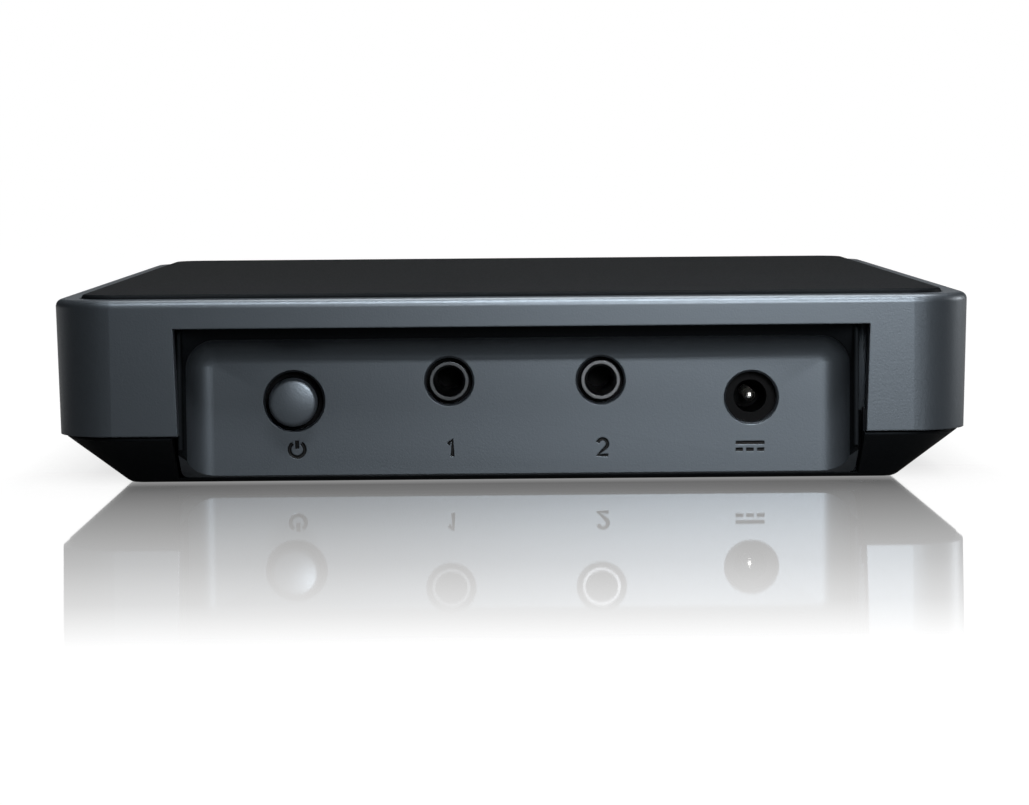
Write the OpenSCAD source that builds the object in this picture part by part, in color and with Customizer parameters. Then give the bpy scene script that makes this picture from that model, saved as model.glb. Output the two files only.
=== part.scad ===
// Compact media player: a cover over a tapered case, a jack panel at one end and a
// slide-out tray with a 2.5 inch hard drive at the other.
// -Y is the jack end, +Y the tray end, and z = 0 the table under the rubber feet.

/* [Cover] */
// Width across the cover
body_w = 121; // [120:0.5:135]
// Depth of the cover, from the jack end to the tray end
body_d = 127.5; // [127.5:0.5:140]
// Height of the cover's rim above the table
body_h = 25.4; // [25.2:0.1:32]
// Height of the cover's lower edge above the table
cover_low = 7.5; // [6.5:0.1:8]
// Thickness of the cover's side walls
wall = 2.2; // [1.6:0.1:2.6]
// Radius of the cover's upright corners
corner_r = 8; // [6:0.5:12]
// Radius along the cover's top edge
rim_r = 1; // [0.5:0.1:1.5]
// Lean of the cover's outer walls, in degrees
draft = 1.2; // [0.2:0.1:1.8]
// Thickness of the deck that the lid plate lies on
deck_t = 1.6; // [1.2:0.1:2]

/* [Lid plate] */
// Height of the lid plate above the cover's rim
lid_raise = 0.55; // [0.2:0.05:1]
// Thickness of the lid plate
lid_t = 1.6; // [1.4:0.1:2]
// Distance from the cover's side to the lid plate's edge
lid_inset = 3.4; // [2.5:0.1:5]
// Width of the groove round the lid plate
lid_gap = 0.3; // [0.2:0.05:0.6]
// Radius along the lid plate's edge
lid_edge_r = 0.5; // [0.3:0.1:0.8]

/* [End notches] */
// Width of the notch in each end of the cover
notch_w = 91; // [89.6:0.2:93]
// Height of the notches' upper edge above the table
notch_top = 21.6; // [20.8:0.1:22]
// How much each side of a notch leans in on its way down
notch_lean = 0.4; // [0:0.1:0.8]
// Offset of the jack notch to the right
notch_x = 1.25; // [0:0.05:2]

/* [Case] */
// Gap between the table and the case's flat bottom
foot_clear = 0.5; // [0.3:0.1:0.8]
// Thickness of the case's floor and walls
case_t = 1.2; // [1:0.1:1.4]
// Step in from the cover's lower edge to the case's sloping border
case_step = 0.5; // [0.2:0.1:1]
// Width of that border, seen from below
slope_run = 8.4; // [7:0.2:8.6]
// Gap between the cover's lower edge and the border
seam = 0.25; // [0.1:0.05:0.4]
// Radius of the case's corners in plan
case_corner_r = 9.8; // [9.8:0.1:12]
// Radius between the slope and the flat bottom
case_edge_r = 2.2; // [1:0.1:3]
// Gap between the case's upright rim and the cover's walls
case_gap = 0.5; // [0.3:0.1:0.8]
// Height of that rim above the cover's lower edge
case_rim = 2.8; // [2:0.1:3.2]
// Radius of the rubber feet
foot_r = 4.5; // [3.5:0.1:5]
// Depth of the feet's seats in the case
foot_seat = 0.4; // [0.2:0.1:0.6]
// Length of each cooling slot
vent_l = 12; // [8:0.5:12]
// Width of each cooling slot
vent_w = 1.8; // [1.2:0.1:2.4]
// Cooling slots in each row
vent_count = 9; // [5:1:9]

/* [Jack panel] */
// Width of the scooped pocket that the jacks are in
pocket_w = 87.9; // [86:0.1:89]
// Offset of the pocket to the right
pocket_x = 0.75; // [0:0.05:1.2]
// Height of the pocket's upper edge above the table
pocket_top = 19.9; // [19:0.1:20.6]
// Distance from the cover's end to the pocket's flat back
panel_recess = 8; // [7.4:0.1:8.4]
// Radius of the scoop between the pocket's back and its sides
scoop_r = 3.5; // [2:0.1:3.8]
// Radius of the pocket's upper corners, seen from the jack end
pocket_r = 4; // [3.9:0.1:6]
// Thickness of the panel behind the pocket
panel_t = 2; // [1.6:0.1:2.2]
// Thickness of the pocket's side walls
pocket_wall = 1; // [0.9:0.1:1.4]
// Button, component jack, sound jack and power jack: distance to the right of the middle
button_x = -29.1; // [-32:0.1:-26]
component_x = -8.4; // [-12:0.1:-5]
av_x = 11.8; // [8:0.1:14]
dc_x = 31.9; // [28:0.1:33]
// Height of the two round jacks above the table
jack_z = 13.9; // [13.6:0.05:14.2]
// Height of the button and of the power jack above the table
low_z = 11.4; // [11:0.05:12]
// Inner radius of a 3.5 mm jack
jack_bore_r = 1.8; // [1.75:0.01:1.9]
// Length of a jack's contact sleeve
sleeve_l = 11.2; // [10:0.1:11.4]
// Bore radius of the power jack
dc_bore_r = 2.2; // [2:0.1:2.8]
// Radius of the power jack's pin
dc_pin_r = 0.82; // [0.5:0.01:1]
// Radius of the power button
button_r = 3.25; // [2.8:0.05:3.6]
// Gap round the power button
button_gap = 0.65; // [0.3:0.05:0.8]
// How far the power button stands out of its panel
button_out = 2.7; // [1.5:0.1:3.2]
// Travel of the power button
button_travel = 0.8; // [0.4:0.1:1]

/* [Hard drive] */
// Width of the drive
drive_w = 69.85; // [69.6:0.05:70.1]
// Length of the drive
drive_l = 100; // [99.6:0.1:100.4]
// Height of the drive
drive_h = 9.5; // [8.6:0.1:9.8]

/* [Tray] */
// Gap between the tray and what guides it
run_gap = 0.3; // [0.2:0.05:0.4]
// Thickness of the tray's sheet
tray_t = 1.2; // [1:0.1:1.4]
// Height of the tray's side walls above its floor
tray_side_h = 7.8; // [7.4:0.1:9]
// Gap between the drive and the tray's side walls
drive_gap = 0.45; // [0.2:0.05:0.8]
// Thickness of the tray front
front_t = 3.8; // [3.7:0.1:4]
// Distance from the cover's end to the tray front's face
front_recess = 0.4; // [0.2:0.1:0.8]
// Gap between the tray front and each side of its notch
front_gap = 1.2; // [0.6:0.05:1.6]
// Radius of the tray front's upright edges
front_edge_r = 3.5; // [2.6:0.1:3.7]
// Radius of the tray front's corners, seen from the tray end
front_corner_r = 2.7; // [2.3:0.1:4]
// Width of the runner on each side of the tray
runner_w = 1.4; // [1:0.1:1.8]
// Height of the lever in the tray front
lever_h = 7.2; // [6:0.1:8]
// Length of the lever from its pin to its tip
lever_l = 57; // [45:0.5:58]
// Radius of the lever's pin
lever_pin_r = 0.6; // [0.5:0.05:0.7]

/* [Main board] */
// Thickness of the main board
board_t = 1.6; // [1.2:0.1:1.8]
// Distance from a jack's axis up to the main board
jack_drop = 3.05; // [2.9:0.05:3.2]
// Side of the main processor
chip_w = 19; // [15:0.5:23]
// Height of the heat sink
sink_h = 2.1; // [1.6:0.1:2.3]

/* [Hidden] */
$fn = 64;
eps = 0.02;            // overshoot of every cut
fit = 0.02;            // radial play of a piece that is pressed or screwed in
pin_play = 0.05;       // radial play of the lever on its pin
seat = 0.05;           // gap under a block that stands on the case's floor
loose = 0.3;           // gap between two pieces that don't hold each other

// Cover
lean = (body_h - rim_r - cover_low) * tan(draft);
inner_w = body_w - 2 * (wall + lean);
inner_d = body_d - 2 * (wall + lean);
inner_r = corner_r - wall - lean;
lid_w = body_w - 2 * lid_inset;
lid_d = body_d - 2 * lid_inset;
lid_r = corner_r - lid_inset;
lid_low = body_h + lid_raise - lid_t;
deck_low = lid_low - deck_t;

// Case
border_w = body_w - 2 * (lean + case_step);
border_d = body_d - 2 * (lean + case_step);
border_high = cover_low - seam;
border_edge = 0.3;                    // height of the border's upright outer edge
border_in = wall + case_gap - case_step;
flat_w = border_w - 2 * slope_run;
flat_d = border_d - 2 * slope_run;
slope_rise = border_high - border_edge - foot_clear;
slope = atan(slope_rise / slope_run);
case_floor = foot_clear + case_t;
case_root = foot_clear + case_t / 3;  // start of what stands on the case's floor
case_top = cover_low + case_rim;
case_cut = 0.5;                       // gap between a block and the case's end wall
case_cut_y = flat_d / 2 - case_t;     // where the end wall starts to rise
case_in_w = border_w - 2 * (border_in + case_t);
case_in_d = border_d - 2 * (border_in + case_t);
boss_r = 3;
boss_x = flat_w / 2 - 3.5;
boss_y = flat_d / 2 - 5.5;
boss_join = case_floor + 7.5;         // height at which the two halves' bosses meet
screw_r = 1.25;
screw_head_r = 2.4;
screw_head_h = 1.6;
screw_head_low = foot_clear + 0.4;
screw_seat = screw_head_low + screw_head_h;
screw_top = boss_join + 6;
foot_x = flat_w / 2 - 9.5;
foot_y = flat_d / 2 - 13.5;
vent_pitch = 5;
vent_x = 15;

// Jack panel
panel_face = -body_d / 2 + panel_recess;
panel_back = panel_face + panel_t;
panel_low = foot_clear + 0.75;
panel_high = deck_low - loose;
pocket_front = -inner_d / 2 + loose;
hole_play = 0.45;                     // gap round a jack's nose
nose_r = 2.65;
dc_hole_r = 3.43;
jack_front = panel_back + loose;
jack_recess = 0.2;
sleeve_t = 0.5;
sleeve_front = panel_face + jack_recess;
mouth = 0.2;                          // chamfer at a jack's mouth
jack_w = 6.4;
jack_back = sleeve_front + sleeve_l + 1;
dc_w = 9;
dc_below = 4.2;
dc_depth = 9;
dc_pin_back = 0.8;                    // how far the power pin goes into its housing

// Main board
board_low = jack_z + jack_drop;
board_high = board_low + board_t;
board_back = panel_back + 2.5;
board_front = 22;
board_w = inner_w - 3;
neck_half = boss_x - boss_r - 0.4;
neck_y = -boss_y + boss_r + 0.4;
finger_low = 36;
finger_turn = boss_y + boss_r + 0.4;
finger_end = inner_d / 2 - 3.4;
post_r = 2.4;
post_hole_r = 0.95;
finger_post = boss_x - boss_r - post_r - 0.15;
posts = [
    [-neck_half + 2.8, board_back + 2.8], [neck_half - 2.8, board_back + 2.8],
    [-boss_x, board_front - 4], [boss_x, board_front - 4], [finger_post, boss_y + 1.5]
];
chip_t = 1.4;
chip_x = 8;
chip_y = -12;

// Power button and its switch
flange_front = panel_back + loose;
flange_t = 0.9;
flange_r = button_r + button_gap + 0.6;
stem_r = 1.6;
plunger_r = 1;
plunger_play = 0.2;
switch_front = flange_front + flange_t + 3.3;
switch_l = 5;
switch_w = 7.4;
plunger_front = switch_front - 1.6;
plunger_in = 1.2;

// Tray and drive
front_face = body_d / 2 - front_recess;
front_back = front_face - front_t;
front_w = notch_w - 2 * front_gap;
front_low = case_floor + seat;
front_high = notch_top - 0.5;
tray_low = case_floor + run_gap;
tray_floor = tray_low + tray_t;
tray_half = drive_w / 2 + drive_gap + tray_t;
tray_top = tray_floor + tray_side_h;
drive_front = front_back - loose;
drive_rear = drive_front - drive_l;
drive_top = tray_floor + drive_h;
runner_low = tray_floor + 0.4;
runner_t = 1.2;
rail_t = 1.4;
rail_half = tray_half + runner_w + run_gap;
rail_lip_low = runner_low + runner_t + run_gap;
rail_high = rail_lip_low + 1.2;
lug_x = tray_half + 2.9;
lug_w = 5.2;
lug_t = 1.5;
lug_low = rail_high + run_gap;
lug_z = (lug_low + tray_top) / 2;
tray_screw_r = 0.9;
tray_screw_head_r = 1.7;
tray_screw_head_h = 1.1;
tray_screw_in = 2.6;
drive_screw_x = 61.72 / 2;
drive_screw_y = [14, 90.6];
drive_screw_r = 1.45;
drive_screw_head_r = 2.6;
drive_screw_head_h = 0.7;
drive_screw_in = 3;
sled_vent = [12, 3];

// Drive details
drive_lid_t = 0.6;
drive_pcb_t = 1;
drive_pcb_up = 0.3;
sata_x = -9;
sata_w = 42.6;
sata_depth = 4.7;
sata_low = tray_floor + drive_pcb_up + drive_pcb_t;
sata_h = 4.6;
sata_mid = sata_low + sata_h / 2;
mouth_w = 39.6;
mouth_h = 3.4;
mouth_depth = 3.7;
tongue_w = 36;
tongue_t = 1.1;
tongue_l = 3.2;
riser_t = 1.2;
riser_front = drive_rear - 0.8;
riser_w = 48;
riser_low = case_floor + 1.3;

// Lever
lever_t = 1.8;
lever_back = front_face - 0.2 - lever_t;
knuckle_r = lever_pin_r + pin_play + 0.55;
lever_y = front_face - knuckle_r;
lever_x = -27.6;
lever_z = (front_low + front_high) / 2;
lever_pocket = front_face - 2 * knuckle_r - loose;
lever_gap = 0.4;
finger_room = 7;
pin_in = 2;                           // how far the lever's pin goes into the tray front

// USB port, front wing
usb_w = 13.1;
usb_h = 5.7;
usb_l = 14;
usb_t = 0.35;
usb_y = 4;
usb_mouth = -body_w / 2 + lean + loose;
wing_x = (notch_w / 2 + body_w / 2 - corner_r) / 2;
ir_z = jack_z;
ir_r = 2.5;
led_r = 1;
led_z = board_high + 1.3;
wing_face = body_d / 2 - lean;
wing_part_front = finger_end - 0.2;

// Rectangle with round corners, about the middle
module round_rect(w, d, r) {
    square([w - 2 * r, d], center = true);
    square([w, d - 2 * r], center = true);
    for (x = [-1, 1], y = [-1, 1])
        translate([x * (w / 2 - r), y * (d / 2 - r)])
            circle(r);
}

// Slot with round ends along X, about the middle
module slot(length, width) {
    square([length - width, width], center = true);
    for (x = [-1, 1])
        translate([x * (length - width) / 2, 0])
            circle(width / 2);
}

// Slab with corners of radius r whose edge follows the children's outline all the way
// round: the outline's x runs from the corner's axis outward, and its y is the height
module edged_slab(w, d, r, low, high) {
    core_x = w / 2 - r;
    core_y = d / 2 - r;
    translate([-core_x, -core_y, low])
        cube([2 * core_x, 2 * core_y, high - low]);
    for (corner = [[1, 1, 0], [-1, 1, 90], [-1, -1, 180], [1, -1, 270]])
        translate([corner.x * core_x, corner.y * core_y, 0])
            rotate(corner.z)
                rotate_extrude(angle = 90)
                    children();
    for (turn = [0, 180])
        rotate(turn) {
            translate([core_x, 0, 0])
                rotate([90, 0, 0])
                    linear_extrude(2 * core_y, center = true)
                        children();
            translate([0, core_y, 0])
                rotate([90, 0, 90])
                    linear_extrude(2 * core_x, center = true)
                        children();
        }
}

// Front-view outline carried from y = from to y = to
module along_y(from, to) {
    translate([0, to, 0])
        rotate([90, 0, 0])
            linear_extrude(to - from)
                children();
}

// Round bar or bore along Y
module bar_y(x, z, r, from, to) {
    translate([x, to, z])
        rotate([90, 0, 0])
            cylinder(r = r, h = to - from);
}

// Box between two corners
module span(low, high) {
    translate(low)
        cube(high - low);
}

// Round post or bore that stands at [x, y]
module post(at, r, low, high) {
    translate([at.x, at.y, low])
        cylinder(r = r, h = high - low);
}

// Half outline of the cover's edge: leaning side, round top
module cover_edge() {
    difference() {
        polygon([
            [0, cover_low], [corner_r - lean, cover_low],
            [corner_r, body_h - rim_r], [corner_r, body_h], [0, body_h]
        ]);
        translate([corner_r - rim_r, body_h - rim_r])
            difference() {
                square(rim_r + eps);
                circle(rim_r);
            }
    }
}

// Half outline of the lid plate's edge
module lid_edge() {
    top = lid_low + lid_t;
    difference() {
        translate([0, lid_low])
            square([lid_r, lid_t]);
        translate([lid_r - lid_edge_r, top - lid_edge_r])
            difference() {
                square(lid_edge_r + eps);
                circle(lid_edge_r);
            }
    }
}

// Half outline of the case's edge, or of its hollow when inset by the wall
module case_edge(inset) {
    outer = case_corner_r - border_in - inset;
    flat = case_corner_r - slope_run - inset * tan(slope / 2);
    bottom = foot_clear + inset;
    bend = bottom + (outer - flat) * tan(slope);
    border = inset > 0 ? [] : [
        [case_corner_r, border_high - border_edge], [case_corner_r, border_high],
        [outer, border_high]
    ];
    r = max(case_edge_r - inset, 0.4);
    reach = r * tan(slope / 2);
    difference() {
        polygon(concat([[0, bottom], [flat, bottom], [outer, bend]], border,
                       [[outer, case_top], [0, case_top]]));
        difference() {
            polygon([
                [flat - reach, bottom], [flat + eps, bottom - eps],
                [flat + reach * cos(slope), bottom + reach * sin(slope)]
            ]);
            translate([flat - reach, bottom + r])
                circle(r);
        }
    }
}

// The case's outer form, or its hollow when inset by the wall
module case_form(inset) {
    edged_slab(border_w, border_d, case_corner_r, foot_clear + inset, case_top)
        case_edge(inset);
}

// Opening in the cover's end for a block: end is -1 at the jacks and 1 at the tray
module notch(end, x) {
    half = notch_w / 2;
    outer = end * body_d / 2;
    inner = end * (inner_d / 2 - 1);
    along_y(min(outer, inner) - eps, max(outer, inner) + eps)
        translate([x, 0])
            polygon([
                [-half + notch_lean, cover_low - eps], [half - notch_lean, cover_low - eps],
                [half, notch_top], [-half, notch_top]
            ]);
}

// End of a round-edged box, with its face at y = 0 and its body behind it towards +Y
module box_end(w, low, high, depth, edge_r, corner) {
    intersection() {
        along_y(0, depth)
            translate([0, (low + high) / 2])
                round_rect(w, high - low, corner);
        translate([0, depth, low])
            linear_extrude(high - low)
                round_rect(w, 2 * depth, edge_r);
    }
}

module top_cover() {
    color([0.13, 0.14, 0.15])
    difference() {
        union() {
            difference() {
                edged_slab(body_w, body_d, corner_r, cover_low, body_h)
                    cover_edge();
                translate([0, 0, cover_low - eps])
                    linear_extrude(deck_low - cover_low + eps)
                        round_rect(inner_w, inner_d, inner_r);
            }
            for (x = [-1, 1], y = [-1, 1])
                post([x * boss_x, y * boss_y], boss_r, boss_join, deck_low + eps);
        }
        translate([0, 0, lid_low])
            linear_extrude(lid_t)
                round_rect(lid_w + 2 * lid_gap, lid_d + 2 * lid_gap, lid_r + lid_gap);
        notch(-1, notch_x);
        notch(1, 0);
        for (x = [-1, 1], y = [-1, 1])
            post([x * boss_x, y * boss_y], screw_r + fit, boss_join - eps, screw_top + 0.5);
        span([-body_w / 2 - eps, usb_y - usb_w / 2 - lever_gap, board_low - usb_h - lever_gap],
             [-inner_w / 2 + eps, usb_y + usb_w / 2 + lever_gap, board_low + lever_gap]);
        bar_y(wing_x, ir_z, ir_r + fit, inner_d / 2 - eps, body_d / 2 + eps);
        bar_y(wing_x, led_z, led_r + fit, inner_d / 2 - eps, body_d / 2 + eps);
    }
}

module lid_plate() {
    color([0.10, 0.11, 0.12])
    edged_slab(lid_w, lid_d, lid_r, lid_low, lid_low + lid_t)
        lid_edge();
}

// C-shaped channel that a runner of the tray slides in, on the right
module tray_rail() {
    span([rail_half, drive_rear - 1, case_floor - eps],
         [rail_half + rail_t, flat_d / 2, rail_high]);
    span([tray_half + run_gap, drive_rear - 1, rail_lip_low],
         [rail_half + eps, flat_d / 2, rail_high]);
}

// Opening in the case's end wall, from height low up: end is -1 at the jacks, 1 at the tray
module case_opening(end, x, w, low) {
    half = w / 2 + case_cut;
    outer = body_d / 2;
    span([x - half, min(end * case_cut_y, end * outer), low],
         [x + half, max(end * case_cut_y, end * outer), case_top + eps]);
}

module bottom_case() {
    color([0.06, 0.06, 0.07])
    difference() {
        union() {
            difference() {
                case_form(0);
                case_form(case_t);
                translate([0, 0, case_top - eps])
                    linear_extrude(1)
                        round_rect(case_in_w, case_in_d, case_corner_r - border_in - case_t);
                case_opening(-1, pocket_x, pocket_w + 2 * pocket_wall, panel_low - seat);
                case_opening(1, 0, front_w, case_floor);
            }
            tray_rail();
            mirror([1, 0, 0])
                tray_rail();
            for (x = [-1, 1], y = [-1, 1])
                post([x * boss_x, y * boss_y], boss_r, case_root, boss_join);
            for (at = posts)
                post(at, post_r, case_root, board_low);
        }
        for (x = [-1, 1], y = [-1, 1]) {
            post([x * boss_x, y * boss_y], screw_r + 0.15, screw_seat - eps, boss_join + eps);
            post([x * boss_x, y * boss_y], screw_head_r + 0.3, foot_clear - eps, screw_seat);
            post([x * foot_x, y * foot_y], foot_r + 0.1, foot_clear - eps, foot_clear + foot_seat);
        }
        for (at = posts)
            post(at, post_hole_r + fit, board_low - 6, board_low + eps);
        for (x = [-1, 1], i = [0:vent_count - 1])
            translate([x * vent_x, (i - (vent_count - 1) / 2) * vent_pitch, foot_clear - eps])
                linear_extrude(case_t + 2 * eps)
                    slot(vent_l, vent_w);
    }
}

// Half outline of the pocket, from its flat back at 0 to its mouth
module pocket_edge() {
    depth = panel_face - pocket_front + eps;
    difference() {
        square([pocket_r, depth]);
        translate([pocket_r - scoop_r, scoop_r])
            difference() {
                translate([0, -scoop_r - eps])
                    square(scoop_r + eps);
                circle(scoop_r);
            }
    }
}

// Space of the pocket: it runs out below the panel
module pocket_space() {
    depth = panel_face - pocket_front + eps;
    below = pocket_r + scoop_r;
    tall = pocket_top + below;
    translate([pocket_x, panel_face, pocket_top - tall / 2])
        rotate([90, 0, 0])
            edged_slab(pocket_w, tall, pocket_r, 0, depth)
                pocket_edge();
}

// Everything above the slope of the case's jack end
module above_slope() {
    rotate([90, 0, 90])
        linear_extrude(body_w, center = true)
            polygon([
                [-border_d / 2, border_high - border_edge], [-flat_d / 2, foot_clear],
                [0, foot_clear], [0, body_h], [-border_d / 2, body_h]
            ]);
}

module rear_panel() {
    outer_w = pocket_w + 2 * pocket_wall;
    color([0.15, 0.16, 0.17])
    difference() {
        intersection() {
            translate([pocket_x, pocket_front, 0])
                box_end(outer_w, panel_low, panel_high, panel_back - pocket_front,
                        pocket_wall - 0.1, pocket_wall - 0.1);
            above_slope();
        }
        pocket_space();
        bar_y(button_x, low_z, button_r + button_gap, panel_face - eps, panel_back + eps);
        for (x = [component_x, av_x])
            bar_y(x, jack_z, nose_r + hole_play, panel_face - eps, panel_back + eps);
        bar_y(dc_x, low_z, dc_hole_r, panel_face - eps, panel_back + eps);
    }
}

module rubber_feet() {
    color([0.05, 0.05, 0.05])
    for (x = [-1, 1], y = [-1, 1])
        post([x * foot_x, y * foot_y], foot_r, 0, foot_clear + foot_seat);
}

module case_screws() {
    color([0.55, 0.56, 0.58])
    for (x = [-1, 1], y = [-1, 1]) {
        at = [x * boss_x, y * boss_y];
        difference() {
            union() {
                post(at, screw_head_r, screw_head_low, screw_seat);
                post(at, screw_r, screw_seat - eps, screw_top);
            }
            for (turn = [0, 90])
                translate([at.x, at.y, screw_head_low + 0.35])
                    rotate(turn)
                        cube([2.6, 0.7, 0.8], center = true);
        }
    }
}

// Plan of the main board: wide over the case's sides, narrow between the bosses of the
// jack end, with a finger that reaches the front wing
module board_plan() {
    side = board_w / 2;
    difference() {
        polygon([
            [-neck_half, board_back], [neck_half, board_back], [neck_half, neck_y],
            [side, neck_y], [side, board_front], [neck_half, board_front],
            [neck_half, finger_turn], [side - 1.5, finger_turn], [side - 1.5, finger_end],
            [finger_low, finger_end], [finger_low, board_front], [-side, board_front],
            [-side, neck_y], [-neck_half, neck_y]
        ]);
        for (at = posts)
            translate(at)
                circle(post_hole_r + 0.15);
    }
}

module main_board() {
    color([0.05, 0.30, 0.16])
    translate([0, 0, board_low])
        linear_extrude(board_t)
            board_plan();
}

module board_screws() {
    color([0.70, 0.70, 0.72])
    for (at = posts)
        difference() {
            union() {
                post(at, 1.9, board_high, board_high + 1.2);
                post(at, post_hole_r, board_low - 5, board_high + eps);
            }
            translate([at.x, at.y, board_high + 1])
                for (turn = [0, 90])
                    rotate(turn)
                        cube([2.2, 0.5, 0.8], center = true);
        }
}

module main_processor() {
    color([0.08, 0.08, 0.09])
    translate([chip_x - chip_w / 2, chip_y - chip_w / 2, board_high])
        cube([chip_w, chip_w, chip_t]);
}

module heat_sink() {
    base = 0.8;
    fins = 7;
    fin_t = 0.9;
    pitch = (chip_w - fin_t) / (fins - 1);
    color([0.72, 0.73, 0.75])
    translate([chip_x - chip_w / 2, chip_y - chip_w / 2, board_high + chip_t]) {
        cube([chip_w, chip_w, base]);
        for (i = [0:fins - 1])
            translate([i * pitch, 0, 0])
                cube([fin_t, chip_w, sink_h - 0.3]);
    }
}

module memory_chips() {
    color([0.09, 0.09, 0.10])
    for (x = [-1, 1])
        translate([chip_x + x * 11 - 5, chip_y + chip_w / 2 + 4, board_high])
            cube([10, 12, 1.1]);
}

module flash_chip() {
    color([0.09, 0.09, 0.10])
    translate([chip_x - chip_w / 2 - 18, chip_y - 6, board_high])
        cube([12, 12, 1]);
}

module clock_crystal() {
    color([0.75, 0.75, 0.76])
    translate([chip_x + chip_w / 2 + 5, chip_y, board_high])
        linear_extrude(2.2)
            rotate(90)
                slot(9, 4);
}

module power_inductors() {
    color([0.20, 0.20, 0.21])
    for (y = [0, 9])
        translate([dc_x - 3, board_back + 14 + y, board_high])
            linear_extrude(2.8)
                round_rect(6.6, 6.6, 1);
}

module filter_capacitors() {
    color([0.70, 0.71, 0.74])
    for (y = [-26, -17, -8])
        post([rail_half + rail_t + 6, y], 2.5, board_low - 5.5, board_low);
}

// 3.5 mm jack: moulded body under the board and a round nose in the panel
module jack_body(x) {
    difference() {
        union() {
            span([x - jack_w / 2, jack_front, jack_z - jack_drop],
                 [x + jack_w / 2, jack_back, board_low]);
            bar_y(x, jack_z, nose_r, sleeve_front, jack_front + eps);
        }
        bar_y(x, jack_z, jack_bore_r + sleeve_t + fit, sleeve_front - eps,
              sleeve_front + sleeve_l + fit);
    }
}

// Metal sleeve that the plug goes into
module jack_sleeve(x) {
    translate([x, sleeve_front, jack_z])
        rotate([-90, 0, 0])
            rotate_extrude()
                polygon([
                    [jack_bore_r + mouth, 0], [jack_bore_r + sleeve_t, 0],
                    [jack_bore_r + sleeve_t, sleeve_l], [jack_bore_r, sleeve_l],
                    [jack_bore_r, mouth]
                ]);
}

module component_jack() {
    color([0.10, 0.10, 0.11])
    jack_body(component_x);
}

module component_sleeve() {
    color([0.25, 0.26, 0.28])
    jack_sleeve(component_x);
}

module av_jack() {
    color([0.10, 0.10, 0.11])
    jack_body(av_x);
}

module av_sleeve() {
    color([0.62, 0.63, 0.65])
    jack_sleeve(av_x);
}

module dc_jack() {
    color([0.07, 0.07, 0.08])
    difference() {
        span([dc_x - dc_w / 2, jack_front, low_z - dc_below],
             [dc_x + dc_w / 2, jack_front + dc_depth + 1.2, board_low]);
        bar_y(dc_x, low_z, dc_bore_r, jack_front - eps, jack_front + dc_depth);
        bar_y(dc_x, low_z, dc_pin_r + fit, jack_front, jack_front + dc_depth + dc_pin_back);
    }
}

module dc_pin() {
    tip = jack_front + 1;
    color([0.80, 0.79, 0.74])
    translate([dc_x, tip, low_z])
        rotate([-90, 0, 0])
            rotate_extrude()
                difference() {
                    square([dc_pin_r, jack_front + dc_depth + dc_pin_back - tip]);
                    difference() {
                        square(dc_pin_r + eps);
                        translate([0, dc_pin_r])
                            circle(dc_pin_r);
                    }
                }
}

module power_switch() {
    color([0.12, 0.12, 0.13])
    difference() {
        span([button_x - switch_w / 2, switch_front, low_z - 3.6],
             [button_x + switch_w / 2, switch_front + switch_l, board_low]);
        bar_y(button_x, low_z, plunger_r + plunger_play, switch_front - eps,
              switch_front + plunger_in + button_travel + loose);
    }
}

module switch_plunger() {
    color([0.75, 0.75, 0.72])
    bar_y(button_x, low_z, plunger_r, plunger_front, switch_front + plunger_in);
}

module power_button() {
    edge = 0.45;
    front = panel_face - button_out;
    body = flange_front - front;
    stem = plunger_front - front;
    color([0.16, 0.17, 0.18])
    translate([button_x, front, low_z])
        rotate([-90, 0, 0])
            rotate_extrude()
                difference() {
                    union() {
                        square([button_r, body + eps]);
                        translate([0, body])
                            square([flange_r, flange_t]);
                        square([stem_r, stem]);
                    }
                    translate([button_r - edge, 0])
                        difference() {
                            translate([0, -eps])
                                square([edge + eps, edge + eps]);
                            translate([0, edge])
                                circle(edge);
                        }
                }
}

module usb_shell() {
    y = usb_y - usb_w / 2;
    z = board_low - usb_h;
    color([0.72, 0.73, 0.75])
    difference() {
        translate([usb_mouth, y, z])
            cube([usb_l, usb_w, usb_h]);
        translate([usb_mouth - eps, y + usb_t, z + usb_t])
            cube([usb_l - usb_t, usb_w - 2 * usb_t, usb_h - 2 * usb_t]);
    }
}

module usb_tongue() {
    block = 4;
    y = usb_y - usb_w / 2 + usb_t + fit;
    z = board_low - usb_h + usb_t + fit;
    color([0.85, 0.85, 0.83])
    translate([usb_mouth, y, z]) {
        translate([usb_l - usb_t - block - fit, 0, 0])
            cube([block, usb_w - 2 * (usb_t + fit), usb_h - 2 * (usb_t + fit)]);
        translate([1, 0.6, usb_h / 2])
            cube([usb_l - block - 1, usb_w - 2 * (usb_t + fit) - 1.2, 1.8]);
    }
}

module ir_receiver() {
    color([0.10, 0.06, 0.08])
    union() {
        span([wing_x - 2.6, finger_end - 4, ir_z - 2.6],
             [wing_x + 2.6, wing_part_front, board_low]);
        bar_y(wing_x, ir_z, 1.6, wing_part_front - eps, inner_d / 2 - loose);
    }
}

module ir_window() {
    color([0.18, 0.05, 0.08])
    bar_y(wing_x, ir_z, ir_r, inner_d / 2, wing_face);
}

module status_led() {
    color([0.80, 0.85, 0.95])
    span([wing_x - 1.4, finger_end - 3, board_high],
         [wing_x + 1.4, wing_part_front, led_z + 1.2]);
}

module light_pipe() {
    color([0.85, 0.90, 0.95])
    bar_y(wing_x, led_z, led_r, wing_part_front + loose, wing_face);
}

module drive_riser() {
    color([0.05, 0.30, 0.16])
    span([sata_x - riser_w / 2, riser_front - riser_t, riser_low],
         [sata_x + riser_w / 2, riser_front, board_low]);
}

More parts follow.
